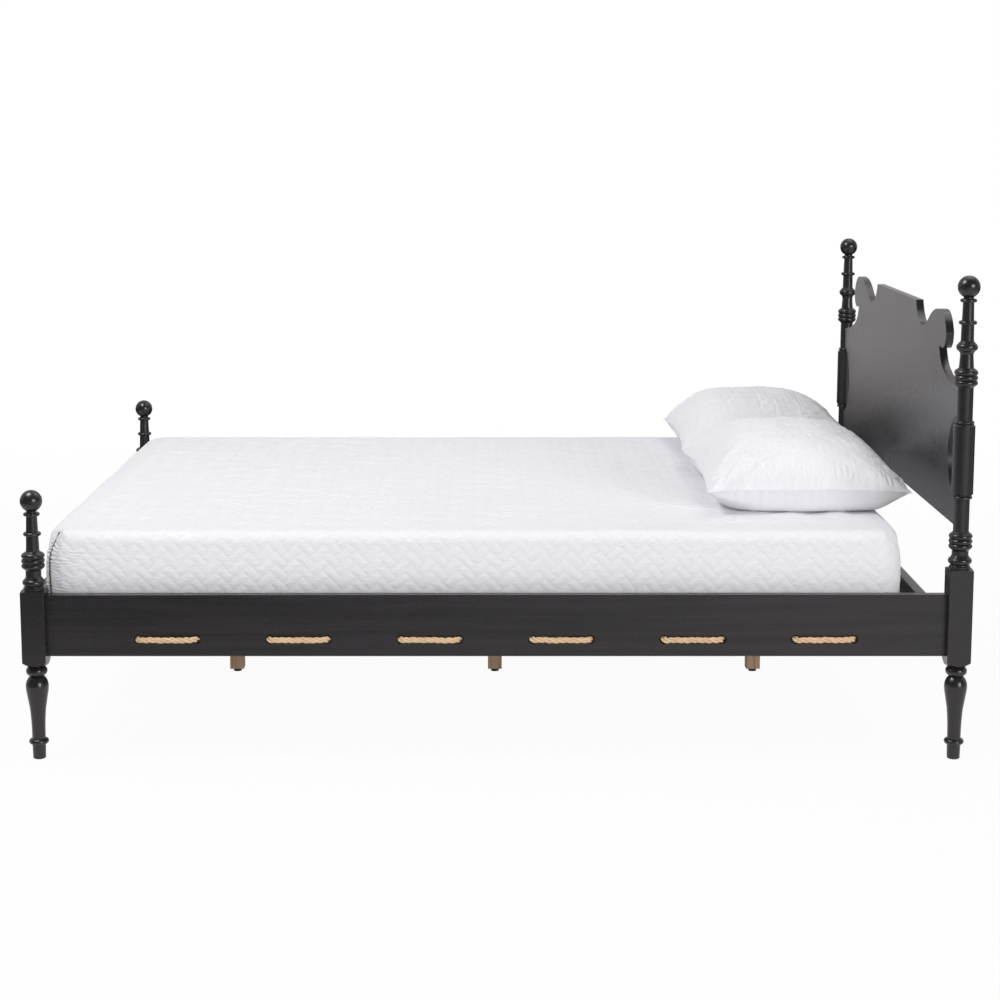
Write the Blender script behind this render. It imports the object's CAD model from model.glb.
# %% [markdown]
# # A low-post bed with a rope-laced frame
# The wooden frame, the slatted deck and the hardware arrive from CAD as finished solids, each in its
# place. This script gives them their finishes, and remodels what a solid can't show: the quilted
# mattress cover, the pillows, the twisted rope and the key sockets of the bolts. Everything is in
# metres. +X runs from the foot to the head, +Z is up, and the camera stands on the -Y side.

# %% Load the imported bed
import math

import bmesh
import bpy
import numpy as np
from mathutils import Matrix, Vector


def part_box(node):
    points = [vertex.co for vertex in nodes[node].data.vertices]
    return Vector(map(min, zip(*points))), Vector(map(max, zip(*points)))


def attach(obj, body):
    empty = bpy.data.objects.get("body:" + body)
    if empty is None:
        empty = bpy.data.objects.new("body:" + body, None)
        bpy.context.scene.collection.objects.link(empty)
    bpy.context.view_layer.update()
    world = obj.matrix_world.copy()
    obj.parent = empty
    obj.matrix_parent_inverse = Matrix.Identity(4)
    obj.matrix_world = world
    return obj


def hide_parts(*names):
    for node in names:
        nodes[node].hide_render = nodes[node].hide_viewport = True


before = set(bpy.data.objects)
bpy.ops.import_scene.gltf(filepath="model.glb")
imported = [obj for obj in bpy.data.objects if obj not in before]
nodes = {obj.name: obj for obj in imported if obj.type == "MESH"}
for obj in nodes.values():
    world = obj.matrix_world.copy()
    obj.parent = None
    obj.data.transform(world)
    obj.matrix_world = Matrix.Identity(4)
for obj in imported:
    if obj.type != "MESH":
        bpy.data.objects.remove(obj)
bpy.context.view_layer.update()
print("nodes loaded:", len(nodes))

# %% [markdown]
# ## Camera
# The view is nearly straight at the long side, from a little above the mattress. The vanishing lines
# of the rails and the posts fix its place and focal length. The bed isn't centred on the optical
# axis, so the lens is shifted a little.

# %% Camera
camera_place = Vector((-0.0177, -5.5198, 1.4848))
camera_pitch = math.radians(8.547)
camera_yaw = math.radians(0.282)
camera_roll = math.radians(-0.076)
camera_data = bpy.data.cameras.new("camera")
camera_data.sensor_width = 36.0
camera_data.lens = 73.93
camera_data.shift_x = 0.0217
camera_data.shift_y = -0.0641
camera = bpy.data.objects.new("camera", camera_data)
turn = Matrix.Rotation(camera_yaw, 4, "Z") @ Matrix.Rotation(math.pi / 2 - camera_pitch, 4, "X")
camera.matrix_world = Matrix.Translation(camera_place) @ turn @ Matrix.Rotation(camera_roll, 4, "Z")
bpy.context.scene.collection.objects.link(camera)
bpy.context.scene.camera = camera
bpy.context.scene.view_settings.view_transform = "Standard"

# %% [markdown]
# ## A shorthand for node trees
# Every finish is a small tree of shader nodes. Each call of this class adds a node, sets and links
# its inputs, and gives back the socket it puts out, which is passed on to the next call.


# %% Node wiring
class Wiring:
    """Adds nodes to one tree. A value given for an input is either a plain number or a socket."""

    def __init__(self, tree):
        self.tree = tree

    def feed(self, sockets, values):
        for name, value in values.items():
            if isinstance(value, bpy.types.NodeSocket):
                self.tree.links.new(value, sockets[name])
            else:
                sockets[name].default_value = value

    def add(self, kind, inputs=None, **settings):
        node = self.tree.nodes.new(kind)
        for name, value in settings.items():
            setattr(node, name, value)
        self.feed(node.inputs, inputs or {})
        return node

    def use(self, effect, inputs):
        return self.add("ShaderNodeGroup", inputs, node_tree=effect).outputs

    def math(self, operation, first, second=0.0, third=0.0):
        inputs = {0: first, 1: second, 2: third}
        return self.add("ShaderNodeMath", inputs, operation=operation).outputs[0]

    def plus(self, first, second):
        return self.math("ADD", first, second)

    def minus(self, first, second):
        return self.math("SUBTRACT", first, second)

    def times(self, first, second):
        return self.math("MULTIPLY", first, second)

    def ramp_up(self, value, low, high):
        """0 at low and 1 at high, smooth between."""
        inputs = {"Value": value, "From Min": low, "From Max": high}
        return self.add("ShaderNodeMapRange", inputs, interpolation_type="SMOOTHSTEP").outputs[0]

    def between(self, value, low, high):
        """Spreads a value of 0 to 1 over low to high."""
        return self.add("ShaderNodeMapRange", {"Value": value, "To Min": low, "To Max": high}).outputs[0]

    def mix(self, factor, first, second):
        """The first number at a factor of 0 and the second at 1."""
        return self.add("ShaderNodeMix", {0: factor, 2: first, 3: second}).outputs[0]

    def blend(self, factor, first, second):
        """The same for two colours."""
        return self.add("ShaderNodeMix", {0: factor, 6: first, 7: second}, data_type="RGBA").outputs[2]

    def mix_shaders(self, factor, first, second):
        return self.add("ShaderNodeMixShader", {0: factor, 1: first, 2: second}).outputs[0]

    def place(self, vector, scale=(1, 1, 1), rotation=(0, 0, 0)):
        inputs = {"Vector": vector, "Scale": scale, "Rotation": rotation}
        return self.add("ShaderNodeMapping", inputs).outputs[0]

    def noise(self, vector, scale, detail=2.0, roughness=0.5):
        inputs = {"Vector": vector, "Scale": scale, "Detail": detail, "Roughness": roughness}
        return self.add("ShaderNodeTexNoise", inputs).outputs["Fac"]

    def bump(self, height, distance, strength=1.0):
        inputs = {"Height": height, "Distance": distance, "Strength": strength}
        return self.add("ShaderNodeBump", inputs).outputs["Normal"]

    def apart(self, vector):
        return self.add("ShaderNodeSeparateXYZ", {0: vector}).outputs

    def on_object(self):
        return self.add("ShaderNodeTexCoord").outputs["Object"]

    def on_cloth(self):
        return self.add("ShaderNodeUVMap", uv_map="cloth").outputs[0]


def new_effect(name, setting, value, outputs):
    """An empty node group that takes a vector and one number and puts out the named numbers."""
    tree = bpy.data.node_groups.new(name, "ShaderNodeTree")
    tree.interface.new_socket("Vector", in_out="INPUT", socket_type="NodeSocketVector")
    socket = tree.interface.new_socket(setting, in_out="INPUT", socket_type="NodeSocketFloat")
    socket.default_value = value
    for title in outputs:
        tree.interface.new_socket(title, in_out="OUTPUT", socket_type="NodeSocketFloat")
    w = Wiring(tree)
    return w, w.add("NodeGroupInput").outputs, w.add("NodeGroupOutput").inputs


def new_finish(name):
    """A material with its Principled shader, and the wiring to build the rest of it."""
    material = bpy.data.materials.new(name)
    material.use_nodes = True
    tree = material.node_tree
    return material, Wiring(tree), tree.nodes["Principled BSDF"].inputs


# %% [markdown]
# ## Wood grain
# Planed wood shows long pale and dark streaks from the growth rings, and short fine pores. Both are
# noise stretched hard along the board: a slow one, and a fast one cut off at a high value. The group
# expects its vector turned so that the grain runs along X.

# %% Wood grain group
sway_scale = (1.1, 4.0, 4.0)
streak_scale = (1.6, 62.0, 62.0)
pore_scale = (26.0, 620.0, 620.0)


def make_grain():
    w, given, out = new_effect("wood grain", "Pore share", 0.3, ("Streak", "Pore", "Height"))
    sway = w.times(w.noise(w.place(given["Vector"], sway_scale), 1.0), 0.05)
    sideways = w.add("ShaderNodeCombineXYZ", {1: sway, 2: sway}).outputs[0]
    wavy = w.add("ShaderNodeVectorMath", {0: given["Vector"], 1: sideways}, operation="ADD").outputs[0]
    streak = w.noise(w.place(wavy, streak_scale), 1.0, 5.0, 0.62)
    edge = w.minus(0.86, w.times(given["Pore share"], 0.5))
    pore = w.ramp_up(w.noise(w.place(wavy, pore_scale), 1.0, 1.0), edge, w.plus(edge, 0.1))
    w.feed(out, {
        "Streak": w.ramp_up(streak, 0.34, 0.68),
        "Pore": pore,
        "Height": w.minus(w.times(streak, 0.35), w.times(pore, 0.65)),
    })
    return w.tree


grain = make_grain()

# %% [markdown]
# ## Patches
# No real surface has one roughness. This group gives slow cloudy patches with finer marks in them as
# one value, to be mixed lightly into a colour and a roughness.


# %% Patches group
def make_patches():
    w, given, out = new_effect("patches", "Size", 0.2, ("Patch",))
    scale = w.math("DIVIDE", 1.0, given["Size"])
    slow = w.noise(given["Vector"], scale, 3.0, 0.55)
    fine = w.noise(given["Vector"], w.times(scale, 9.0))
    mixed = w.plus(w.times(slow, 0.75), w.times(fine, 0.25))
    w.feed(out, {"Patch": w.ramp_up(mixed, 0.32, 0.68)})
    return w.tree


patches = make_patches()

# %% [markdown]
# ## Charcoal lacquer
# The posts, rails and headboard are wood under a thin near-black satin lacquer. The grain barely
# tints it and shows mostly as a faint relief in the reflections. It follows each board, so there is a
# copy of the finish for each axis. The turned posts and the panel were filled and rubbed smooth, so
# they get only a small share of it.

# %% Charcoal lacquer
quarter_turn = math.radians(90)
turn_for_axis = {"X": (0, 0, 0), "Y": (0, 0, quarter_turn), "Z": (0, quarter_turn, 0)}
lacquer_dark = (0.0074, 0.0066, 0.0078, 1)
lacquer_light = (0.0158, 0.0142, 0.0164, 1)
lacquer_pore = (0.0040, 0.0037, 0.0044, 1)
lacquer_roughness = 0.27


def new_wood(name, axis, pore_share, patch_size):
    """A new finish with the two wood effects ready: grain along an axis, and patches."""
    material, w, shader = new_finish(name)
    where = w.on_object()
    along = w.place(where, rotation=turn_for_axis[axis])
    wood = w.use(grain, {"Vector": along, "Pore share": pore_share})
    patch = w.use(patches, {"Vector": where, "Size": patch_size})["Patch"]
    return material, w, shader, wood, patch


def lacquer(title, axis, grain_share):
    material, w, shader, wood, patch = new_wood("charcoal lacquer, " + title, axis, 0.34, 0.22)
    streak = w.between(wood["Streak"], 0.5 - 0.5 * grain_share, 0.5 + 0.5 * grain_share)
    colour = w.blend(streak, lacquer_dark, lacquer_light)
    spread = 0.006 + 0.012 * grain_share
    rough = w.between(patch, lacquer_roughness - spread, lacquer_roughness + spread)
    w.feed(shader, {
        "Base Color": w.blend(w.times(wood["Pore"], 0.7 * grain_share), colour, lacquer_pore),
        "Roughness": w.plus(rough, w.times(wood["Pore"], 0.08 * grain_share)),
        "IOR": 1.5,
        "Normal": w.bump(wood["Height"], 0.00010, 0.22 * grain_share),
    })
    return material


lacquers = {axis: lacquer("grain along " + axis, axis, 1.0) for axis in "XY"}
panel_lacquer = lacquer("smooth panel", "Y", 0.02)
turned_lacquer = lacquer("turned posts", "Z", 0.09)

# %% [markdown]
# ## Bare wood
# The deck and the middle legs are plain planed softwood, light brown and quite dull, with a stronger
# grain and open pores. The patches stand in for the uneven darkening of unfinished boards.

# %% Bare wood
pine_light = (0.560, 0.400, 0.260, 1)
pine_dark = (0.300, 0.190, 0.115, 1)
pine_pore = (0.170, 0.105, 0.060, 1)


def bare_wood(axis):
    material, w, shader, wood, patch = new_wood("bare wood, grain along " + axis, axis, 0.5, 0.16)
    colour = w.blend(wood["Streak"], pine_light, pine_dark)
    colour = w.blend(w.times(wood["Pore"], 0.6), colour, pine_pore)
    w.feed(shader, {
        "Base Color": w.blend(w.times(patch, 0.25), colour, pine_dark),
        "Roughness": w.between(patch, 0.58, 0.74),
        "Normal": w.bump(wood["Height"], 0.0005, 0.7),
    })
    return material


bare_woods = {axis: bare_wood(axis) for axis in "XYZ"}

# %% [markdown]
# ## Zinc-plated steel and moulded plastic
# The hardware is bright-plated steel, dulled by fine tumbling marks. The glides under the middle legs
# are matt black plastic with the faint orange-peel of a moulding.


# %% Steel and plastic
def speckled(name, patch_size, colours, roughness, speckle_scale, speckle_strength, metallic):
    material, w, shader = new_finish(name)
    where = w.on_object()
    patch = w.use(patches, {"Vector": where, "Size": patch_size})["Patch"]
    w.feed(shader, {
        "Base Color": w.blend(patch, *colours),
        "Roughness": w.between(patch, *roughness),
        "Metallic": metallic,
        "Normal": w.bump(w.noise(where, speckle_scale), 0.0001, speckle_strength),
    })
    return material


zinc_tones = ((0.50, 0.51, 0.53, 1), (0.66, 0.66, 0.64, 1))
black_tones = ((0.018, 0.018, 0.019, 1), (0.030, 0.029, 0.028, 1))
steel = speckled("zinc plated steel", 0.02, zinc_tones, (0.28, 0.46),
                 speckle_scale=1400.0, speckle_strength=0.4, metallic=1.0)
plastic = speckled("black moulded plastic", 0.01, black_tones, (0.42, 0.6),
                   speckle_scale=900.0, speckle_strength=0.5, metallic=0.0)

# %% [markdown]
# ## Finishes on the CAD pieces
# A CAD node keeps its mesh and place, and only its material slot changes. Grain runs along each
# board: X for what runs with the bed, Y for what crosses it, Z for what stands. Names are matched by
# how they start, and a later line wins.

# %% Assign finishes
finish_of = {
    lacquers["X"]: ("side_rail",),
    lacquers["Y"]: ("foot_rail", "head_rail"),
    panel_lacquer: ("headboard_panel",),
    turned_lacquer: ("foot_post", "head_post"),
    bare_woods["X"]: ("cleat", "centre_beam"),
    bare_woods["Y"]: ("slat",),
    bare_woods["Z"]: ("support_leg",),
    plastic: ("leg_glide",),
    steel: ("beam_hanger", "head_rail_angle", "leg_studs", "rail_bolts", "barrel_nuts", "slat_screws",
            "cleat_screws", "bracket_screws"),
}
for material, starts in finish_of.items():
    for name in nodes:
        if name.startswith(starts):
            nodes[name].data.materials.clear()
            nodes[name].data.materials.append(material)

# %% [markdown]
# ## Surfaces from arrays
# New pieces are worked out as grids of points with numpy: rows by columns by three, each cell a quad.
# Where a surface closes on itself the last column repeats the first, and at a pole a whole row is one
# point. Welding removes both repeats, and the cloth coordinates, kept per corner, survive it.


# %% Grid meshes
def new_object(name, points, faces, cloth=None):
    """cloth is a pair of coordinates for each corner of each face, in order."""
    mesh = bpy.data.meshes.new(name)
    mesh.from_pydata(points.tolist(), [], faces)
    if cloth is not None:
        layer = mesh.uv_layers.new(name="cloth")
        layer.data.foreach_set("uv", cloth.reshape(-1).astype(np.float32))
    made = bpy.data.objects.new(name, mesh)
    bpy.context.scene.collection.objects.link(made)
    print(name, "faces:", len(faces))
    return made


def grid_cells(rows, columns):
    """The numbers of the four points round every cell of a grid."""
    index = np.arange(rows * columns).reshape(rows, columns)
    corners = (index[:-1, :-1], index[:-1, 1:], index[1:, 1:], index[1:, :-1])
    return np.stack(corners, axis=-1).reshape(-1, 4)


def piece_from_grids(name, grids, weld=0.00002):
    """grids is a list of (points, cloth), arrays of rows x columns x 3 and rows x columns x 2."""
    points, cloth, faces = [], [], []
    start = 0
    for grid, coordinates in grids:
        rows, columns = grid.shape[:2]
        faces.append(start + grid_cells(rows, columns))
        points.append(grid.reshape(-1, 3))
        cloth.append(coordinates.reshape(-1, 2))
        start += rows * columns
    points, cloth, faces = (np.concatenate(part) for part in (points, cloth, faces))
    piece = new_object(name, points, faces.tolist(), cloth[faces.reshape(-1)])
    shape = bmesh.new()
    shape.from_mesh(piece.data)
    bmesh.ops.remove_doubles(shape, verts=shape.verts, dist=weld)
    bmesh.ops.dissolve_degenerate(shape, edges=shape.edges, dist=weld)
    bmesh.ops.recalc_face_normals(shape, faces=shape.faces)
    shape.to_mesh(piece.data)
    shape.free()
    piece.data.polygons.foreach_set("use_smooth", np.ones(len(piece.data.polygons), bool))
    piece.data.update()
    return piece


# %% Formulas shared by the pieces
def smooth_step(value, low, high):
    """0 below low, 1 above high, and 3t^2 - 2t^3 between."""
    t = np.clip((value - low) / (high - low), 0.0, 1.0)
    return t * t * (3.0 - 2.0 * t)


def waves(x, y, seed, count, shortest, longest):
    """A sum of sine waves in seeded directions and lengths, scaled to stay within about -1 to 1."""
    random = np.random.default_rng(seed)
    total = np.zeros(np.broadcast(x, y).shape)
    for _ in range(count):
        angle = random.uniform(0, 2 * math.pi)
        length = random.uniform(shortest, longest)
        phase = random.uniform(0, 2 * math.pi)
        total += np.sin((x * math.cos(angle) + y * math.sin(angle)) * 2 * math.pi / length + phase)
    return total / math.sqrt(count) / 1.5


def walked_along(path):
    """The length walked from a path's first point to each of its points."""
    return np.append(0, np.cumsum(np.linalg.norm(np.diff(path, axis=0), axis=1)))


def box_of(node):
    """The node's lowest and highest corners."""
    return np.array(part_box(node))


# %% Tubes along a path
def frames_along(path):
    """The unit tangent at each point and two unit normals: beside it, and square to both."""
    tangent = np.gradient(path, axis=0)
    tangent /= np.linalg.norm(tangent, axis=1)[:, None]
    upright = np.where(np.abs(tangent[:, 2:]) > 0.9, [[1.0, 0.0, 0.0]], [[0.0, 0.0, 1.0]])
    beside = np.cross(tangent, upright)
    beside /= np.linalg.norm(beside, axis=1)[:, None]
    return tangent, beside, np.cross(beside, tangent)


def tube(centre, beside, above, radius, points):
    """A grid of circles round a line of centres, beside cos t + above sin t times the radius. The
    radius may be an array, and 0 at an end closes the tube."""
    around = np.linspace(0, 2 * math.pi, points + 1)
    ring = beside[:, None] * np.cos(around)[None, :, None] + above[:, None] * np.sin(around)[None, :, None]
    return centre[:, None] + np.broadcast_to(radius, len(centre))[:, None, None] * ring, around


def tube_along(path, radius, points=10):
    _, beside, above = frames_along(path)
    grid, around = tube(path, beside, above, radius, points)
    u, v = np.meshgrid(around / (2 * math.pi) * 0.012, walked_along(path))
    return grid, np.stack([v, u], axis=-1)


# %% [markdown]
# ## Quilted herringbone
# The cover is stitched in a herringbone of small bricks, twice as long as wide and laid at 45
# degrees. The cloth is turned by 45 degrees and cut into square cells one brick width across, and
# counting cells along each diagonal step in fours says which brick a cell belongs to: two make one
# lying brick, two are parts of standing ones. The distance to the brick's edge makes the stitched
# valley and the puff between. It is written twice: as a node group, for the stitching and the sharp
# part of the relief, and as an array formula that gives the mesh its real puffs.

# %% Herringbone group
brick_blend = 0.12
valley_rise = (-0.03, 0.22)
puff_rise = (0.0, 0.5)
puff_mean = 0.7


def make_herringbone():
    outputs = ("Height", "Stitch", "Brick tone")
    w, given, out = new_effect("quilted herringbone", "Brick width", 0.0225, outputs)
    turned = w.apart(w.place(given["Vector"], rotation=(0, 0, -quarter_turn / 2)))
    along, cross = (w.math("DIVIDE", turned[axis], given["Brick width"]) for axis in (0, 1))
    along_cell, cross_cell = w.math("FLOOR", along), w.math("FLOOR", cross)
    along_part, cross_part = w.minus(along, along_cell), w.minus(cross, cross_cell)
    step = w.math("FLOORED_MODULO", w.minus(along_cell, cross_cell), 4.0)
    standing = w.math("GREATER_THAN", step, 1.5)
    run = w.mix(standing, w.plus(step, along_part), w.plus(w.minus(3.0, step), cross_part))
    width = w.mix(standing, cross_part, along_part)
    to_end = w.math("MINIMUM", run, w.minus(2.0, run))
    to_side = w.math("MINIMUM", width, w.minus(1.0, width))
    to_edge = w.math("SMOOTH_MIN", to_end, to_side, brick_blend)
    valley, puff = w.ramp_up(to_edge, *valley_rise), w.ramp_up(to_edge, *puff_rise)
    w.feed(out, {
        "Height": w.plus(w.times(valley, 0.5), w.times(puff, 0.5)),
        "Stitch": w.minus(1.0, w.ramp_up(to_edge, 0.0, 0.12)),
        "Brick tone": standing,
    })
    return w.tree


herringbone = make_herringbone()


# %% Herringbone relief
def quilted(u, v, brick_width, waver, seed):
    """The same herringbone as an array: gives cloth coordinates moved by a slow waver, and the height
    of the quilting there, 0 in a stitched valley and 1 in the middle of a brick. Distances to a
    brick's end and side are joined by a smooth minimum, min(a, b) - h^3 k / 6."""
    u = u + waver * brick_width * waves(u, v, seed, 9, 0.05, 0.20)
    v = v + waver * brick_width * waves(u, v, seed + 1, 9, 0.05, 0.20)
    along, cross = (u + v) / math.sqrt(2) / brick_width, (v - u) / math.sqrt(2) / brick_width
    along_part, cross_part = along % 1.0, cross % 1.0
    step = (np.floor(along) - np.floor(cross)) % 4.0
    standing = step > 1.5
    run = np.where(standing, 3.0 - step + cross_part, step + along_part)
    width = np.where(standing, along_part, cross_part)
    to_end, to_side = np.minimum(run, 2.0 - run), np.minimum(width, 1.0 - width)
    blend = np.clip(brick_blend - np.abs(to_end - to_side), 0, None) / brick_blend
    to_edge = np.minimum(to_end, to_side) - blend ** 3 * brick_blend / 6
    height = 0.5 * smooth_step(to_edge, *valley_rise) + 0.5 * smooth_step(to_edge, *puff_rise)
    return np.stack([u, v], axis=-1), height


# %% [markdown]
# ## Weave
# Close up, the white cloth is a fine thread texture: two sine waves at right angles, with a stretched
# noise over them that breaks the repeat.


# %% Weave group
def make_weave():
    w, given, out = new_effect("weave", "Threads per metre", 900.0, ("Height", "Slub"))
    part = w.apart(given["Vector"])
    turns = w.times(given["Threads per metre"], 2 * math.pi)
    warp, weft = (w.math("SINE", w.times(part[axis], turns)) for axis in (0, 1))
    slub = w.noise(w.place(given["Vector"], (240.0, 35.0, 1.0)), 1.0, 3.0, 0.6)
    w.feed(out, {"Height": w.plus(w.times(w.times(warp, weft), 0.35), slub), "Slub": slub})
    return w.tree


weave = make_weave()

# %% [markdown]
# ## White cloths
# The mattress cover and the pillows' upper side are the quilted cloth, and the pillows are plain
# cotton underneath. Cloth scatters light at its edges, so both have a little sheen. The whites stay a
# step under full white, so that the shading of the folds is kept.

# %% Cover and pillow finishes
cloth_white = (0.797, 0.794, 0.826, 1)
cloth_shade = (0.70, 0.70, 0.74, 1)
cover_brick = 0.0225
pillow_brick = 0.0150


def new_cloth(name, threads):
    """A new finish with the cloth coordinates and the weave ready."""
    material, w, shader = new_finish(name)
    cloth = w.on_cloth()
    return material, w, shader, cloth, w.use(weave, {"Vector": cloth, "Threads per metre": threads})


def quilted_cloth(name, brick_width, puff_depth, crinkle_depth):
    material, w, shader, cloth, thread = new_cloth(name, 1100.0)
    quilt = w.use(herringbone, {"Vector": cloth, "Brick width": brick_width})
    crinkle = w.noise(w.place(cloth, (0.6, 1.9, 1.0)), 95.0, 3.0, 0.6)
    colour = cloth_white
    for tone, share in ((quilt["Stitch"], 0.26), (quilt["Brick tone"], 0.05), (thread["Slub"], 0.12)):
        colour = w.blend(w.times(tone, share), colour, cloth_shade)
    relief = w.times(quilt["Height"], puff_depth)
    for height, depth in ((crinkle, crinkle_depth), (thread["Height"], 0.00006)):
        relief = w.plus(relief, w.times(height, depth))
    w.feed(shader, {
        "Base Color": colour,
        "Roughness": 0.86,
        "Sheen Weight": 0.10,
        "Sheen Roughness": 0.5,
        "Specular IOR Level": 0.25,
        "Normal": w.bump(relief, 1.0),
    })
    return material


def plain_cotton():
    material, w, shader, cloth, thread = new_cloth("plain white cotton", 1500.0)
    relief = w.times(w.noise(cloth, 14.0, 3.0), 0.0016)
    w.feed(shader, {
        "Base Color": w.blend(w.times(thread["Slub"], 0.15), cloth_white, cloth_shade),
        "Roughness": 0.82,
        "Sheen Weight": 0.12,
        "Specular IOR Level": 0.3,
        "Normal": w.bump(w.plus(relief, w.times(thread["Height"], 0.00004)), 1.0),
    })
    return material


cover_cloth = quilted_cloth("quilted mattress cover", cover_brick, puff_depth=0.0006, crinkle_depth=0.0014)
pillow_cloth = quilted_cloth("quilted pillow top", pillow_brick, puff_depth=0.0003, crinkle_depth=0.0017)
pillow_lining = plain_cotton()

# %% [markdown]
# ## Mattress
# A block with soft edges, wrapped in the quilted cover. A profile is carried round a rounded
# rectangle: from under the edge, up a slightly bulging side, to just inside the top edge. A grid
# closes the top and a fan the bottom. The cells are a fifth of a brick, enough to carry the puffs,
# which are lower over the edge, where the cover is pulled tight. Washing has drawn the cloth up, so
# the top has soft puckers about a hand's width apart.
#
# The two foot corners are closed by an upright seam. It is tighter than the cloth, so it lies in a
# groove with a soft roll on each side, and small gathers run into it. The rectangle is walked from
# the near seam, and the cloth coordinates run on from the near side over the top.

# %% Mattress sizes
mattress_low, mattress_high = box_of("mattress")
mattress_height = mattress_high[2] - mattress_low[2]
corner_radius = 0.045
edge_radius = 0.027
side_bulge = 0.004
cells_along = 440
cells_across = 330
cells_in_corner = 34
cells_up = 88
quilt_puff = 0.0007
top_puff = 0.0018
edge_puff_share = 0.25
top_puckers = 0.0024
quilt_waver = 0.13
side_dents = 0.0011
top_swell = 0.0010
seam_cell = 16
seam_turn = seam_cell / cells_in_corner * math.pi / 2
seam_angles = (math.pi + seam_turn, math.pi - seam_turn)
seam_groove_depth = 0.0042
seam_groove_width = 0.0040
seam_roll_height = 0.0020
seam_roll_place = 0.0095
seam_roll_width = 0.0055
corner_leans = [(seam_angle, 0.56, 0.038) for seam_angle in seam_angles]
corner_leans += [(math.radians(head_angle), 0.42, 0.040) for head_angle in (-45, 45)]
lean_height = 0.080
gather_reach = 0.034
gather_depth = 0.0034
gather_spacing = 0.0082


# %% Mattress outline and profile
def mattress_outline():
    """Points round a rounded rectangle, anticlockwise from the near foot seam, with the outward angle
    at each and the length walked. Sides have the cells of the grid they meet."""
    low, high = mattress_low[:2] + corner_radius, mattress_high[:2] - corner_radius
    corners = np.array([low, (high[0], low[1]), high, (low[0], high[1])])
    quarter = np.linspace(0, math.pi / 2, cells_in_corner + 1)[1:-1]
    centres, angles = [], []
    for side in range(4):
        start, end = corners[side], corners[(side + 1) % 4]
        share = np.linspace(0, 1, (cells_across if side % 2 else cells_along) + 1)[:, None]
        facing = (side - 1) * math.pi / 2
        centres += [start * (1 - share) + end * share, np.tile(end, (len(quarter), 1))]
        angles += [np.full(len(share), facing), facing + quarter]
    before = cells_in_corner - seam_cell
    centre = np.roll(np.concatenate(centres), before, axis=0)
    angle = np.roll(np.concatenate(angles), before)
    angle[:before] -= 2 * math.pi
    centre = np.concatenate([centre, centre[:1]])
    angle = np.append(angle, angle[0] + 2 * math.pi)
    outward = np.stack([np.cos(angle), np.sin(angle)], axis=1)
    rim = centre + outward * corner_radius
    return rim, outward, angle, walked_along(rim)


def mattress_profile():
    """How far in from the side and how high, from under the edge to the top's border, with the
    slope of the surface's normal, -90 degrees underneath and +90 on top."""
    turn = np.linspace(0, math.pi / 2, 13)
    side = np.linspace(edge_radius, mattress_height - edge_radius, cells_up)[1:-1]
    over = np.linspace(edge_radius, corner_radius, 5)[1:]
    inset = np.concatenate([[corner_radius], edge_radius * (1 - np.sin(turn)), 0 * side,
                            edge_radius * (1 - np.cos(turn)), over])
    rise = np.concatenate([[0.0], edge_radius * (1 - np.cos(turn)), side,
                           mattress_height - edge_radius * (1 - np.sin(turn)), 0 * over + mattress_height])
    slope = np.concatenate([[-math.pi / 2], turn - math.pi / 2, 0 * side, turn, 0 * over + math.pi / 2])
    return inset, rise, slope, walked_along(np.stack([inset, rise], axis=1))


# %% Mattress cover
def seam_relief(distance, up):
    """The groove at a seam, the roll beside it, and the gathers: waves up the seam that die away
    sideways, with their phase drifting so that no two are alike."""
    near = np.abs(distance)
    groove = -seam_groove_depth * np.exp(-(near / seam_groove_width) ** 2)
    roll = seam_roll_height * np.exp(-((near - seam_roll_place) / seam_roll_width) ** 2)
    drift = 0.75 * waves(distance, up, 21, 6, 0.025, 0.09)
    wave = np.sin(2 * math.pi * (up / gather_spacing + drift + distance * 14))
    sizes = 0.60 + 0.55 * waves(0.4 * distance, up, 22, 5, 0.012, 0.05)
    reach = gather_reach * (1 + 0.4 * waves(0 * distance, up, 23, 4, 0.02, 0.06))
    gathers = gather_depth * wave * sizes * np.exp(-near / reach) * (1 - np.exp(-near / 0.003))
    fade = smooth_step(up, 0.01, 0.03) * (1 - smooth_step(up - mattress_height, 0.012, 0.030))
    return (groove + roll + gathers) * fade


def quilt_relief(puff, depth, from_edge, fade_start, fade_end):
    """The puffs of the quilting, lower near an edge and gone at the very edge."""
    share = edge_puff_share + (1 - edge_puff_share) * smooth_step(from_edge, fade_start, fade_end)
    return depth * share * (puff - puff_mean) * smooth_step(from_edge, 0.0, 0.006)


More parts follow.
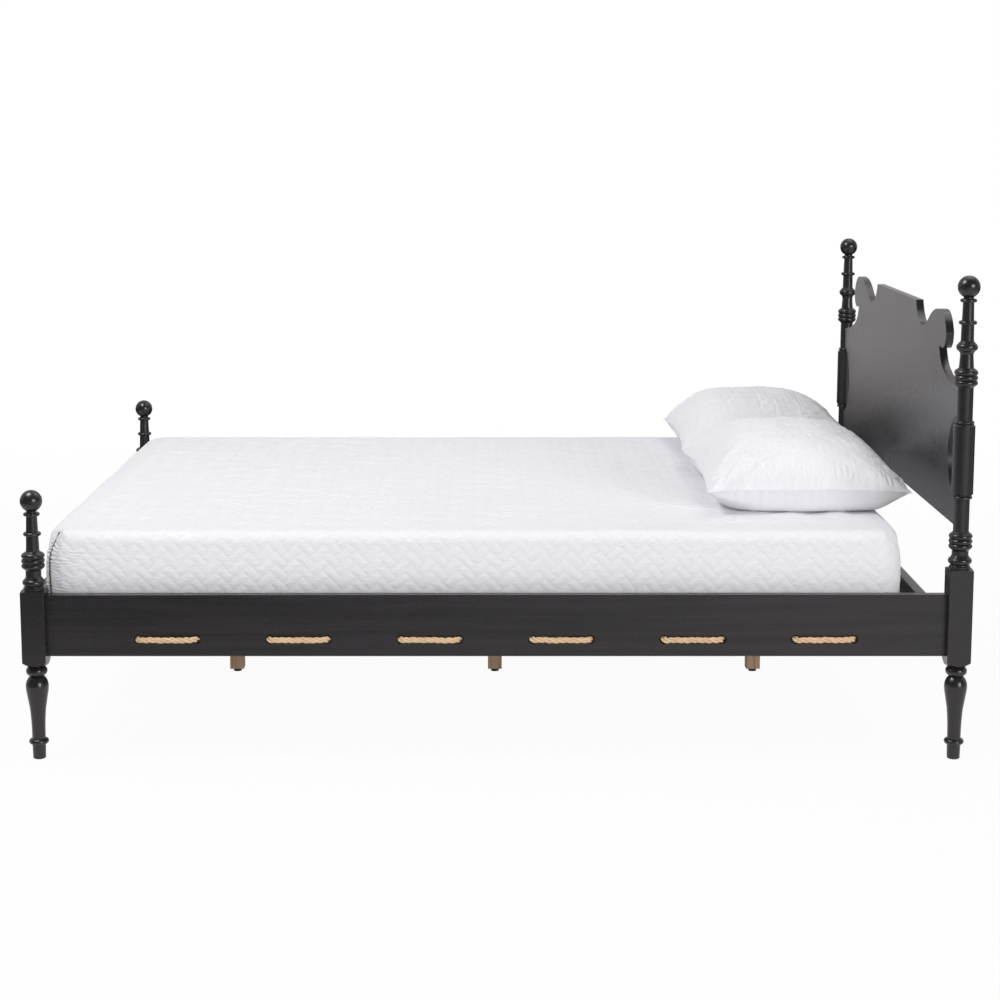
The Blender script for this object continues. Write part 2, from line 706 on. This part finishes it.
def mattress_band():
    """Every point is the rim, moved in and up by the profile, then along the surface's normal by a
    bulge, slow dents, the seams' relief and the quilting. Towards the top of each corner the cover
    leans in, most at the foot, where the seam draws it round the edge."""
    rim, outward, angle, around = mattress_outline()
    inset, rise, slope, up = mattress_profile()
    s, p = np.meshgrid(around, up)

    def past(corner_angle):
        """The signed distance round the rim from a corner, the short way."""
        distance = s - np.interp(corner_angle, angle, around)
        return (distance + around[-1] / 2) % around[-1] - around[-1] / 2

    bulge = side_bulge * np.sin(np.clip(rise / mattress_height, 0, 1) * math.pi) ** 2
    dents = side_dents * (waves(s, p * 1.6, 3, 7, 0.30, 0.8) - 1)
    relief = bulge[:, None] + dents * smooth_step(rise, 0.01, 0.05)[:, None]
    for seam_angle in seam_angles:
        relief = relief + seam_relief(past(seam_angle), p)
    inset_here = np.broadcast_to(inset[:, None], s.shape)
    lean = smooth_step(rise, mattress_height - lean_height, mattress_height)[:, None] ** 1.5
    for corner_angle, most, reach in corner_leans:
        leaning = lean * most * np.exp(-(past(corner_angle) / reach) ** 2)
        inset_here = inset_here + (corner_radius - inset_here) * leaning
    from_top = p[-1] - p
    cloth, puff = quilted(s, p, cover_brick, quilt_waver, 61)
    relief = relief * smooth_step(from_top, 0.0, 0.018) * smooth_step(from_top, 0.0, 0.006)
    relief = (relief + quilt_relief(puff, quilt_puff, from_top, 0.015, 0.058)) * (p > 0)
    sideways = (relief * np.cos(slope)[:, None] - inset_here)[..., None]
    z = mattress_low[2] + rise[:, None] + relief * np.sin(slope)[:, None]
    start = np.array([np.interp(-math.pi / 2 - 1e-6, angle, around), up[-1]])
    return np.concatenate([rim + outward * sideways, z[..., None]], axis=-1), cloth, angle, start


def mattress_cover():
    band, cloth, angle, start = mattress_band()
    low, high = mattress_low[:2] + corner_radius, mattress_high[:2] - corner_radius
    gx, gy = np.meshgrid(np.linspace(low[0], high[0], cells_along + 1),
                         np.linspace(low[1], high[1], cells_across + 1))
    border = np.minimum.reduce([gx - low[0], high[0] - gx, gy - low[1], high[1] - gy])
    swell = top_swell * (waves(gx, gy, 5, 9, 0.18, 0.7) - 0.4) * smooth_step(border, 0.0, 0.08)
    swell = swell + top_puckers * waves(gx, gy, 7, 16, 0.07, 0.14) * smooth_step(border, 0.0, 0.05)
    on_x, on_y = gx - low[0] + start[0], gy - low[1] + start[1]
    top_cloth, puff = quilted(on_x, on_y, cover_brick, quilt_waver, 61)
    swell = swell + quilt_relief(puff, top_puff, border, 0.0, 0.040)
    top = np.stack([gx, gy, mattress_high[2] + swell], axis=-1)
    middle = np.append((low + high) / 2, mattress_low[2])
    shares = np.array([1.0, 0.5, 0.0])[:, None, None]
    base = band[0] * shares + middle * (1 - shares)
    grids = [(band, cloth), (top, top_cloth), (base, base[..., :2])]
    cover = piece_from_grids("mattress_quilted_cover", grids, 0.00005)
    cover.data.materials.append(cover_cloth)
    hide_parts("mattress")
    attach(cover, "mattress")
    return band, angle


cover_band, cover_angle = mattress_cover()

# %% [markdown]
# ### Seam tape
# A narrow brown tape shows in the bottom of each corner seam: a thin tube along the cover's own
# column of points there, so it follows every gather.

# %% Seam tape
tape_radius = 0.0031
tape_lift = 0.0008
tape_tones = ((0.110, 0.070, 0.052, 1), (0.230, 0.160, 0.122, 1))


def taupe_tape():
    material, w, shader, _, thread = new_cloth("taupe seam tape", 1300.0)
    w.feed(shader, {
        "Base Color": w.blend(thread["Slub"], *tape_tones),
        "Roughness": 0.9,
        "Normal": w.bump(thread["Height"], 0.0003, 0.6),
    })
    return material


def seam_tapes():
    grids = []
    for seam_angle in seam_angles:
        column = int(np.argmin(np.abs(cover_angle - seam_angle)))
        outwards = np.array([math.cos(seam_angle), math.sin(seam_angle), 0.0])
        path = cover_band[6:-9, column] + outwards * tape_lift
        radius = np.full(len(path), tape_radius)
        radius[[0, -1]] = 0.0
        grids.append(tube_along(path, radius))
    tape = piece_from_grids("mattress_seam_tape", grids)
    tape.data.materials.append(taupe_tape())
    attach(tape, "mattress")


seam_tapes()

# %% [markdown]
# ## Pillows
# A pillow is two sheets of cloth sewn round the edge and stuffed. Its outline pulls in between the
# corners, where the stuffing takes up the cloth. The upper sheet swells to a crown, and the lower one
# bulges less and is flat where it rests.
#
# The upper sheet has more cloth than the crown needs, and gathers along the seam. A cloth simulation
# finds the gathers: the sheet is given 3.5% of spare cloth, pinned round the seam, and let go under a
# little pressure. Only the fine part of its moves is kept, and capped, so the crown keeps its shape.

# %% Pillow sizes
pillow_cells_x = 120
pillow_cells_y = 152
seam_height = 0.0605
crown_height = 0.128
crown_shift = 0.12
under_depth = 0.093
draw_in = (0.014, 0.016)
corner_droop = 0.005
spare_cloth = -0.035
gather_cap = 0.0042
gather_length = 0.060
pleat_spacing = 0.0125
pleat_depth = 0.0026
pleat_reach = 0.042
scallop = 0.0016
scallop_spacing = (0.0161, 0.0345)
pillow_puff = 0.0007
lump_height = 0.0024
crinkle_height = 0.0010
under_folds = 0.0016
seam_wander = 0.0015
rest_softness = 0.004


# %% Pillow sheets
def unit_grid(columns, rows):
    return np.meshgrid(np.linspace(-1, 1, columns), np.linspace(-1, 1, rows))


def from_seams(a, b, half):
    return (1 - np.abs(a)) * half[0], (1 - np.abs(b)) * half[1]


def pillow_outline(a, b, half):
    """The flat sheet: a rectangle whose sides pull in by a parabola between the corners."""
    x = a * half[0] - np.sign(a) * draw_in[0] * (1 - b * b) * np.abs(a) ** 3
    y = b * half[1] - np.sign(b) * draw_in[1] * (1 - a * a) * np.abs(b) ** 3
    return x, y


def swelling(a, b, powers, roundness):
    """(1 - |a|^p)^r times (1 - |b|^q)^s: 1 in the middle and 0 at the seam."""
    across = np.clip(1 - np.abs(a) ** powers[0], 0, 1) ** roundness[0]
    return across * np.clip(1 - np.abs(b) ** powers[1], 0, 1) ** roundness[1]


def upper_sheet(a, b, half):
    """The crown is moved a little towards the foot, as the stuffing slides from the headboard."""
    rise = swelling(a + crown_shift * (1 - a * a), b, (3.2, 2.3), (0.72, 0.50))
    return np.stack([*pillow_outline(a, b, half), crown_height * rise], axis=-1)


def blurred(field, reach):
    """A box blur along both directions of a grid, done by differences of running sums, twice."""
    for axis in (0, 1, 0, 1):
        pads = [(0, 0)] * field.ndim
        pads[axis] = (reach + 1, reach)
        total = np.cumsum(np.pad(field, pads, mode="edge"), axis=axis)
        first = np.arange(field.shape[axis])
        upper, lower = (np.take(total, first + shift, axis=axis) for shift in (2 * reach + 1, 0))
        field = (upper - lower) / (2 * reach + 1)
    return field


# %% Gathers by cloth simulation
cloth_settings = {
    "quality": 5, "mass": 0.2, "tension_stiffness": 15, "compression_stiffness": 15,
    "shear_stiffness": 5, "bending_stiffness": 0.05, "tension_damping": 2, "compression_damping": 2,
    "vertex_group_mass": "seam", "shrink_min": spare_cloth, "shrink_max": spare_cloth,
    "use_pressure": True, "uniform_pressure_force": 2,
}
last_cloth_frame = 14


def gathered(sheet):
    """Gives the moves that spare cloth makes on a crowned sheet pinned round its seam."""
    rows, columns = sheet.shape[:2]
    index = np.arange(rows * columns).reshape(rows, columns)
    trial = new_object("pillow_trial", sheet.reshape(-1, 3), grid_cells(rows, columns).tolist())
    seam = trial.vertex_groups.new(name="seam")
    seam.add(np.concatenate([index[0], index[-1], index[:, 0], index[:, -1]]).tolist(), 1.0, "REPLACE")
    cloth = trial.modifiers.new("spare cloth", "CLOTH")
    for name, value in cloth_settings.items():
        setattr(cloth.settings, name, value)
    cloth.settings.effector_weights.gravity = 0
    cloth.collision_settings.use_collision = False
    for step in range(1, last_cloth_frame + 1):
        bpy.context.scene.frame_set(step)
    view_layer = bpy.context.evaluated_depsgraph_get()
    moved = np.zeros(sheet.size)
    trial.evaluated_get(view_layer).to_mesh().vertices.foreach_get("co", moved)
    bpy.context.scene.frame_set(1)
    bpy.data.objects.remove(trial)
    return moved.reshape(sheet.shape) - sheet


def fine_gathers(half):
    """The simulation's moves without their slow part, capped by a tanh."""
    a, b = unit_grid(pillow_cells_x + 1, pillow_cells_y + 1)
    moves = gathered(upper_sheet(a, b, half))
    fine = moves - blurred(moves, 9)
    size = np.linalg.norm(fine, axis=-1, keepdims=True) + 1e-9
    share = 0.18 + 0.82 * np.exp(-(np.minimum(*from_seams(a, b, half)) / gather_length) ** 2)
    return fine / size * gather_cap * np.tanh(size / gather_cap) * share[..., None]


def seam_pleats(a, b, half, seed):
    """Fine pleats that start at the seam: sin(2 pi d / spacing), where d runs along the nearest
    seam, with a drifting phase and size, dying away over a few centimetres."""
    from_x, from_y = from_seams(a, b, half)
    along = np.where(from_x < from_y, b * half[1], a * half[0])
    off = np.minimum(from_x, from_y)
    drift = 0.85 * waves(along, off * 0.6, seed, 7, 0.04, 0.16)
    size = np.clip(0.55 + 0.5 * waves(along, off * 0.5, seed + 1, 6, 0.02, 0.09), 0, 1.4)
    reach = pleat_reach * (1 + 0.35 * waves(along, 0 * off, seed + 2, 5, 0.03, 0.10))
    fade = np.exp(-(off / reach) ** 2) * smooth_step(off, 0.004, 0.014)
    meeting = smooth_step(np.abs(from_x - from_y), 0.0, 0.03)
    return pleat_depth * np.sin(2 * math.pi * (along / pleat_spacing + drift)) * size * fade * meeting


def twice_as_fine(grid):
    """Halves every cell, with the new points from a cubic through the four nearest old ones."""
    for axis in (0, 1):
        grid = np.moveaxis(grid, axis, 0)
        padded = np.concatenate([2 * grid[:1] - grid[1:2], grid, 2 * grid[-1:] - grid[-2:-1]])
        finer = np.empty((2 * len(grid) - 1,) + grid.shape[1:])
        finer[0::2] = grid
        finer[1::2] = (9 * (padded[1:-2] + padded[2:-1]) - padded[:-3] - padded[3:]) / 16
        grid = np.moveaxis(finer, 0, axis)
    return grid


# %% Pillows
def scalloped(side, along, off, seed):
    """Moves the seam in and out by a few waves along it, fading inwards."""
    wave = scallop * waves(along, 0 * along, seed, 5, *scallop_spacing)
    return np.sign(side) * (wave - 0.001) * np.exp(-off / 0.012)


def pillow(node, seed, gathers):
    low, high = box_of(node)
    centre, half = (low + high) / 2, (high - low) / 2
    coarse = unit_grid(pillow_cells_x + 1, pillow_cells_y + 1)
    top_x, top_y, top_z = np.moveaxis(twice_as_fine(upper_sheet(*coarse, half) + gathers), -1, 0)
    a, b = unit_grid(2 * pillow_cells_x + 1, 2 * pillow_cells_y + 1)
    from_x, from_y = from_seams(a, b, half)
    to_seam = np.minimum(from_x, from_y)
    push_x = scalloped(a, b * half[1], from_x, seed + 5)
    push_y = scalloped(b, a * half[0], from_y, seed + 6)
    seam = seam_height - corner_droop * (a * a * b * b) ** 2
    seam = seam + seam_wander * waves(a * 0.3, b * 0.3, seed, 5, 0.1, 0.4)
    inner = smooth_step(to_seam, 0.0, 0.012)
    lumps = lump_height * waves(top_x, top_y, seed + 1, 11, 0.05, 0.19)
    crinkle = crinkle_height * waves(top_x, top_y, seed + 2, 26, 0.012, 0.034)
    cloth, puff = quilted(a * half[0] * 1.15, b * half[1] * 1.15, pillow_brick, 0.35, seed + 9)
    fine = lumps * smooth_step(to_seam, 0, 0.06) + crinkle + seam_pleats(a, b, half, seed + 7)
    fine = fine + pillow_puff * (puff - puff_mean)
    z_top = low[2] + seam + top_z * smooth_step(to_seam, -0.002, 0.010) + fine * inner
    x, y = pillow_outline(a, b, half)
    depth = under_depth * swelling(a, b, (2.9, 7), (0.75, 0.65)) * smooth_step(to_seam, -0.004, 0.016)
    hang = seam - depth + under_folds * waves(x, y, seed + 3, 9, 0.05, 0.2) * inner
    rested = rest_softness * np.logaddexp(0, hang / rest_softness)
    z_bottom = np.where(to_seam > 0, low[2] + np.minimum(rested, seam), low[2] + seam)
    z_top = np.where(to_seam > 0, np.maximum(z_top, z_bottom + 0.0006), low[2] + seam)
    upper = np.stack([centre[0] + top_x + push_x, centre[1] + top_y + push_y, z_top], axis=-1)
    under = np.stack([centre[0] + x + push_x, centre[1] + y + push_y, z_bottom], axis=-1)
    upper = np.where(to_seam[..., None] > 0, upper, under)
    piece = piece_from_grids(node + "_stuffed", [(upper, cloth), (under[::-1], cloth[::-1])])
    piece.data.materials.append(pillow_cloth)
    piece.data.materials.append(pillow_lining)
    quads = len(piece.data.polygons)
    lining = np.arange(quads) >= quads // 2
    piece.data.polygons.foreach_set("material_index", lining.astype(np.int32))
    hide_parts(node)
    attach(piece, node)


pillow_low, pillow_high = box_of("pillow_right")
pillow_gathers = fine_gathers((pillow_high - pillow_low) / 2)
pillow("pillow_right", 11, pillow_gathers)
pillow("pillow_left", 41, pillow_gathers[::-1, ::-1] * np.array([-1.0, -1.0, 1.0]))

# %% [markdown]
# ## Bolt heads
# The eight bolts that hold the side rails are plain cylinders in CAD. Their heads show in the posts,
# so each is turned again from one profile: the floor and six walls of the key socket, the face, a
# rounded rim and the shank. A hexagon's radius at an angle t from a flat is its half width over cos t.

# %% Bolts
bolt_low, bolt_high = box_of("rail_bolts")
bolt_head_radius = 0.0075
bolt_head_height = 0.005
bolt_shank_radius = 0.004
bolt_rim = 0.0009
bolt_nick = 0.0002
bolt_tip = 0.0008
socket_half_width = 0.003
socket_depth = 0.0034
bolt_points = 48
bolt_reach_past_post = 0.048


def bolt_grid(face, inward, length):
    """The profile's rows are (radius, depth under the face), and the socket's rows are a hexagon,
    with the radius as a share of its half width."""
    socket = np.array([(0.0, socket_depth + 0.0006), (0.6, socket_depth + 0.0003), (0.96, socket_depth),
                       (1.0, socket_depth - 0.0002), (1.0, 0.0004), (1.02, 0.00025), (1.09, 0.0)])
    turn = np.linspace(0, math.pi / 2, 6)
    flat = bolt_head_radius - bolt_rim
    rim = np.stack([flat + bolt_rim * np.sin(turn), bolt_rim * (1 - np.cos(turn))], axis=1)
    shank = [(bolt_head_radius, bolt_head_height - bolt_nick),
             (bolt_head_radius - bolt_nick, bolt_head_height),
             (bolt_shank_radius + bolt_nick, bolt_head_height),
             (bolt_shank_radius, bolt_head_height + bolt_nick),
             (bolt_shank_radius, length - bolt_tip),
             (bolt_shank_radius - bolt_tip, length),
             (0.0, length)]
    around = np.linspace(0, 2 * math.pi, bolt_points + 1)
    from_flat = (around + math.pi / 6) % (math.pi / 3) - math.pi / 6
    turned = np.concatenate([[(0.0041, 0.0), (flat - bolt_nick, 0.0)], rim, shank])
    hexagon = socket[:, :1] * socket_half_width / np.cos(from_flat)
    radius = np.concatenate([hexagon, np.broadcast_to(turned[:, :1], (len(turned), len(around)))])
    depth = np.broadcast_to(np.append(socket[:, 1], turned[:, 1])[:, None], radius.shape)
    points = face + np.stack([depth * inward, radius * np.cos(around), radius * np.sin(around)], axis=-1)
    return points, np.stack([radius, depth], axis=-1)


def turned_bolts():
    length = bolt_reach_past_post + (box_of("foot_post_right")[1][0] - bolt_low[0])
    grids = [bolt_grid(np.array([x, y, z]), inward, length)
             for x, inward in ((bolt_low[0], 1.0), (bolt_high[0], -1.0))
             for y in (bolt_low[1] + bolt_head_radius, bolt_high[1] - bolt_head_radius)
             for z in (bolt_low[2] + bolt_head_radius, bolt_high[2] - bolt_head_radius)]
    bolts = piece_from_grids("rail_bolts_with_sockets", grids, 0.00001)
    bolts.data.materials.append(steel)
    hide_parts("rail_bolts")
    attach(bolts, "frame")


turned_bolts()

# %% [markdown]
# ## Rope
# One rope is laced through each side rail, in straight runs and quarter turns. Three strands wind
# round its centreline, each a tube whose centre turns about it once in every lay. A strand touches
# its neighbours when its offset is 2/sqrt(3) of its own radius, which fixes both. Jute is never even,
# so the line wavers by a fraction of a millimetre and the strands swell and thin.

# %% Rope route
rail_low, rail_high = box_of("side_rail_right")
rope_diameter = 0.0138
rope_height = 0.2913
rope_gap = 0.0002
rope_waver = 0.0007
bend_radius = 0.013
stitches = 6
stitch_end_distance = 0.28525
stitch_holes_apart = 0.137
stitch_shift = -0.0015
knot_reach = 0.0126
lay_length = 0.050
strand_points = 12
route_step = 0.0018


def rope_route():
    """The right-hand rope's centreline: corner points, then each corner rounded to a quarter turn."""
    outer = rail_low[1] - rope_gap - rope_diameter / 2
    inner = rail_high[1] + rope_gap + rope_diameter / 2
    first, last = rail_low[0] + stitch_end_distance, rail_high[0] - stitch_end_distance
    centres = np.linspace(first, last, stitches) + stitch_shift
    holes = (centres[:, None] + np.array([-0.5, 0.5]) * stitch_holes_apart).reshape(-1)
    levels = np.tile([inner, outer, outer, inner], stitches)
    levels[[0, -1]] = rail_high[1] + rope_gap + knot_reach
    corners = np.stack([np.repeat(holes, 2), levels], axis=1)
    heading = np.diff(corners, axis=0)
    heading /= np.linalg.norm(heading, axis=1)[:, None]
    arrive, leave = heading[:-1, None], heading[1:, None]
    angle = np.linspace(0, math.pi / 2, 14)[:, None]
    centre = corners[1:-1, None] + (leave - arrive) * bend_radius
    turns = centre - leave * bend_radius * np.cos(angle) + arrive * bend_radius * np.sin(angle)
    line = np.concatenate([corners[:1], turns.reshape(-1, 2), corners[-1:]])
    walked = walked_along(line)
    even = np.linspace(0, walked[-1], int(walked[-1] / route_step))
    level = [np.interp(even, walked, line[:, axis]) for axis in (0, 1)]
    waver = rope_waver * waves(even, 0 * even, 31, 6, 0.03, 0.14)
    return np.stack([*level, rope_height + waver], axis=1)


# %% Rope strands
def strands_along(route, diameter, lay, seed):
    """Three tube grids wound about a route. A strand's centre is the route plus its offset times
    (cos t, sin t) in the two normals, with t growing by a full turn in each lay."""
    strand_radius = diameter / 2 / (1 + 2 / math.sqrt(3))
    offset = strand_radius * 2 / math.sqrt(3)
    _, beside, above = frames_along(route)
    walked = walked_along(route)
    grids = []
    for strand in range(3):
        uneven = 1 + 0.07 * waves(walked, 0 * walked, seed + strand, 5, 0.02, 0.09)
        turn = -walked / lay * 2 * math.pi + strand * 2 * math.pi / 3
        turn = turn + 0.25 * waves(walked, 0 * walked, seed + 7, 4, 0.08, 0.3)
        centre = route + offset * (beside * np.cos(turn)[:, None] + above * np.sin(turn)[:, None])
        radius = strand_radius * 1.06 * uneven
        radius[[0, -1]] = 0.0
        points, around = tube(centre, beside, above, radius, strand_points)
        u, v = np.meshgrid(around * strand_radius, walked)
        u = u + (walked / lay * 2 * math.pi * strand_radius * 0.8)[:, None]
        grids.append((points, np.stack([v, u + strand * 0.05], axis=-1)))
    return grids


# %% [markdown]
# ### Jute finish
# Each strand is a bundle of pale gold fibres. Long thin noise along the strand draws them, and a
# slower one mixes lighter and browner bundles. The cloth coordinates follow every bend.

# %% Jute finish
jute_light = (0.890, 0.655, 0.440, 1)
jute_dark = (0.520, 0.330, 0.170, 1)


def jute():
    material, w, shader = new_finish("natural jute")
    cloth = w.on_cloth()
    fibre = w.noise(w.place(cloth, (160.0, 2600.0, 1.0)), 1.0, 4.0, 0.65)
    bundle = w.noise(w.place(cloth, (30.0, 420.0, 1.0)), 1.0)
    tone = w.plus(w.times(fibre, 0.6), w.times(bundle, 0.4))
    w.feed(shader, {
        "Base Color": w.blend(w.ramp_up(tone, 0.36, 0.62), jute_dark, jute_light),
        "Roughness": 0.88,
        "Specular IOR Level": 0.2,
        "Normal": w.bump(fibre, 0.0006, 0.8),
    })
    return material


jute_finish = jute()

# %% [markdown]
# ### Loose fibres and knots
# Short fibres stand off the rope and make its outline furry: thin three-sided tubes of four points,
# all worked out at once. Behind the rail each end is stopped by a tight overhand knot, a plain tube
# along a trefoil curve, with a short tail.

# %% Loose fibres
fibre_count = 2600
fibre_radius = 0.00011
fibre_taper = (1.0, 0.9, 0.7, 0.25)
fibre_lengths = (0.004, 0.0105)
fibre_lifts = (0.08, 0.42)
fibre_curls = (-0.3, 0.3)


def fibres_on(route):
    """Root on the rope's surface at a random angle, then three steps along and away from it."""
    random = np.random.default_rng(50)
    tangent, beside, above = frames_along(route)
    at = random.integers(8, len(route) - 8, fibre_count)
    angle = random.uniform(0, 2 * math.pi, fibre_count)[:, None]
    away = beside[at] * np.cos(angle) + above[at] * np.sin(angle)
    along = tangent[at] * random.choice([-1, 1], fibre_count)[:, None]
    across = np.cross(along, away)
    length, lift, curl = (random.uniform(*limits, fibre_count)[:, None, None]
                          for limits in (fibre_lengths, fibre_lifts, fibre_curls))
    step = np.linspace(0, 1, 4)[None, :, None]
    root = route[at] + away * rope_diameter * 0.44
    path = (root[:, None] + along[:, None] * length * step
            + away[:, None] * length * lift * step ** 1.3
            + across[:, None] * length * curl * step ** 2)
    around = np.linspace(0, 2 * math.pi, 4)[:-1][None, None, :, None]
    ring = away[:, None, None] * np.cos(around) + across[:, None, None] * np.sin(around)
    thin = fibre_radius * np.array(fibre_taper)[None, :, None, None]
    points = (path[:, :, None] + ring * thin).reshape(-1, 3)
    index = np.arange(fibre_count * 12).reshape(fibre_count, 4, 3)
    turned = np.roll(index, -1, axis=2)
    sides = np.stack([index[:, :-1], turned[:, :-1], turned[:, 1:], index[:, 1:]], axis=-1)
    return points, sides.reshape(-1, 4), np.concatenate([index[:, 0, ::-1], index[:, -1]])


def fibre_piece(name, route, mirror):
    points, quads, caps = fibres_on(route)
    points = points * mirror
    if mirror[1] < 0:
        quads, caps = quads[:, ::-1], caps[:, ::-1]
    corners = np.concatenate([quads.reshape(-1), caps.reshape(-1)])
    piece = new_object(name, points, quads.tolist() + caps.tolist(), points[corners][:, [0, 2]])
    piece.data.materials.append(jute_finish)
    return piece


# %% Lay the ropes
knot_size = 0.0031
knot_thickness = 0.0042
tail_share = 0.9
tail_start = 0.004
tail_length = 0.030


def knot_route(centre):
    """A trefoil: (sin t + 2 sin 2t, -sin 3t, cos t - 2 cos 2t) times the knot's size."""
    t = np.linspace(0, 2 * math.pi, 90)
    x = np.sin(t) + 2 * np.sin(2 * t)
    z = np.cos(t) - 2 * np.cos(2 * t)
    return centre + knot_size * np.stack([x, -1.2 * np.sin(3 * t), z], axis=1)


def lay_ropes():
    route = rope_route()
    grids = strands_along(route, rope_diameter, lay_length, 61)
    for end, outward in ((route[0], -1.0), (route[-1], 1.0)):
        knot = np.array([end[0], rail_high[1] + rope_gap + knot_reach, rope_height])
        grids += [tube_along(knot_route(knot), knot_thickness, 12)]
        reach = np.linspace(tail_start, tail_start + tail_length, 20)
        tail = knot + np.stack([outward * reach, 0.10 * reach, -0.05 * reach], axis=1)
        grids += strands_along(tail, rope_diameter * tail_share, lay_length, 71)
    for side, sign in (("right", 1.0), ("left", -1.0)):
        mirror = np.array([1.0, sign, 1.0])
        turned = [(points * mirror, cloth) for points, cloth in grids]
        rope = piece_from_grids("rope_three_strand_" + side, turned)
        rope.data.materials.append(jute_finish)
        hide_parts("rope_lacing_" + side)
        fuzz = fibre_piece("rope_loose_fibres_" + side, route, mirror)
        for piece in (rope, fuzz):
            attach(piece, "frame")


lay_ropes()

# %% [markdown]
# ## Floor, world and lamps
# The bed stands on a pale floor in a white studio. To the camera the world is white, and the floor is
# mostly white light and part matt paint, so it still takes the bed's shadow. Diffuse light sees a
# gentler world, stronger from the foot, so the white cloth keeps its shading. The dark lacquer takes
# nearly all its tone from what it mirrors, so reflections see a graded studio instead, and one lamp
# adds to the reflections only.

# %% Floor
floor_size = 40.0
floor_paint = (0.80, 0.80, 0.80, 1)
white = (1, 1, 1, 1)
mirror_tint = (1, 0.955, 0.965, 1)


def studio_floor():
    x, y = (floor_size / 2 * side for side in unit_grid(9, 9))
    grid = np.stack([x, y, np.zeros_like(x)], axis=-1)
    floor = piece_from_grids("studio_floor", [(grid, grid[..., :2])])
    material, w, shader = new_finish("pale studio floor")
    w.feed(shader, {"Base Color": floor_paint, "Roughness": 0.9, "Specular IOR Level": 0.1})
    path = w.add("ShaderNodeLightPath").outputs
    where = w.on_object()
    away = w.add("ShaderNodeVectorMath", {0: where}, operation="LENGTH").outputs["Value"]
    glow = w.between(w.ramp_up(away, 1.8, 5.0), 0.95, 1.0)
    part = w.apart(where)
    past_head = w.between(w.ramp_up(part[0], 2.2, 4.0), 1.0, 0.2)
    front = w.between(w.times(w.ramp_up(part[0], -1.8, 1.6), past_head), 0.26, 1.0)
    close = w.times(w.ramp_up(part[1], -2.1, -1.5), w.ramp_up(away, 3.0, 2.2))
    behind = w.between(w.ramp_up(part[1], 4.0, 7.5), 0.02, 0.68)
    mirrored = w.mix(w.ramp_up(part[1], 0.0, 1.5), w.math("MAXIMUM", front, close), behind)
    paint = w.tree.nodes["Principled BSDF"].outputs[0]
    light = w.add("ShaderNodeEmission", {"Color": white, "Strength": 1.0}).outputs[0]
    shine = w.add("ShaderNodeEmission", {"Color": mirror_tint, "Strength": mirrored}).outputs[0]
    seen = w.mix_shaders(w.times(glow, path["Is Camera Ray"]), paint, light)
    seen = w.mix_shaders(path["Is Glossy Ray"], seen, shine)
    w.feed(w.tree.nodes["Material Output"].inputs, {"Surface": seen})
    floor.data.materials.append(material)


studio_floor()


# %% World
def studio_world():
    world = bpy.data.worlds.new("white studio")
    bpy.context.scene.world = world
    world.use_nodes = True
    w = Wiring(world.node_tree)
    path = w.add("ShaderNodeLightPath").outputs
    toward = w.apart(w.add("ShaderNodeTexCoord").outputs["Generated"])
    room = w.between(w.ramp_up(toward[1], -0.45, 0.35), 0.12, 0.70)
    strength = w.mix(path["Is Glossy Ray"], 1.0, room)
    tint = w.blend(path["Is Glossy Ray"], white, mirror_tint)
    backdrop = w.add("ShaderNodeBackground", {"Color": tint, "Strength": strength}).outputs[0]
    ambient = w.tree.nodes["Background"]
    foot_light = w.between(w.ramp_up(toward[0], 0.1, -0.8), 0.33, 0.74)
    w.feed(ambient.inputs, {"Color": white, "Strength": foot_light})
    direct = w.math("MAXIMUM", path["Is Camera Ray"], path["Is Transmission Ray"])
    direct = w.math("MAXIMUM", direct, path["Is Glossy Ray"])
    both = w.mix_shaders(direct, ambient.outputs[0], backdrop)
    w.feed(w.tree.nodes["World Output"].inputs, {"Surface": both})


studio_world()


# %% Lamps
def softbox(name, place, target, size, power):
    data = bpy.data.lights.new(name, "AREA")
    data.shape = "RECTANGLE"
    data.size, data.size_y = size
    data.energy = power
    lamp = bpy.data.objects.new(name, data)
    aim = Vector(target) - Vector(place)
    lamp.matrix_world = Matrix.Translation(place) @ aim.to_track_quat("-Z", "Y").to_matrix().to_4x4()
    lamp.visible_camera = False
    bpy.context.scene.collection.objects.link(lamp)
    return lamp


softbox("key", (-2.1, -1.2, 4.2), (0.0, 0.0, 0.5), (1.0, 0.95), 79)
key_glow = softbox("key glow", (-2.1, -1.2, 4.2), (0.0, 0.0, 0.5), (2.0, 1.9), 90)
key_glow.visible_diffuse = False
softbox("overhead fill", (1.5, 0.7, 4.2), (0.3, 0.1, 0.5), (3.2, 2.4), 38)
softbox("front right", (6.8, -10.5, 3.2), (0.0, 0.0, 0.4), (4.9, 3.7), 750)
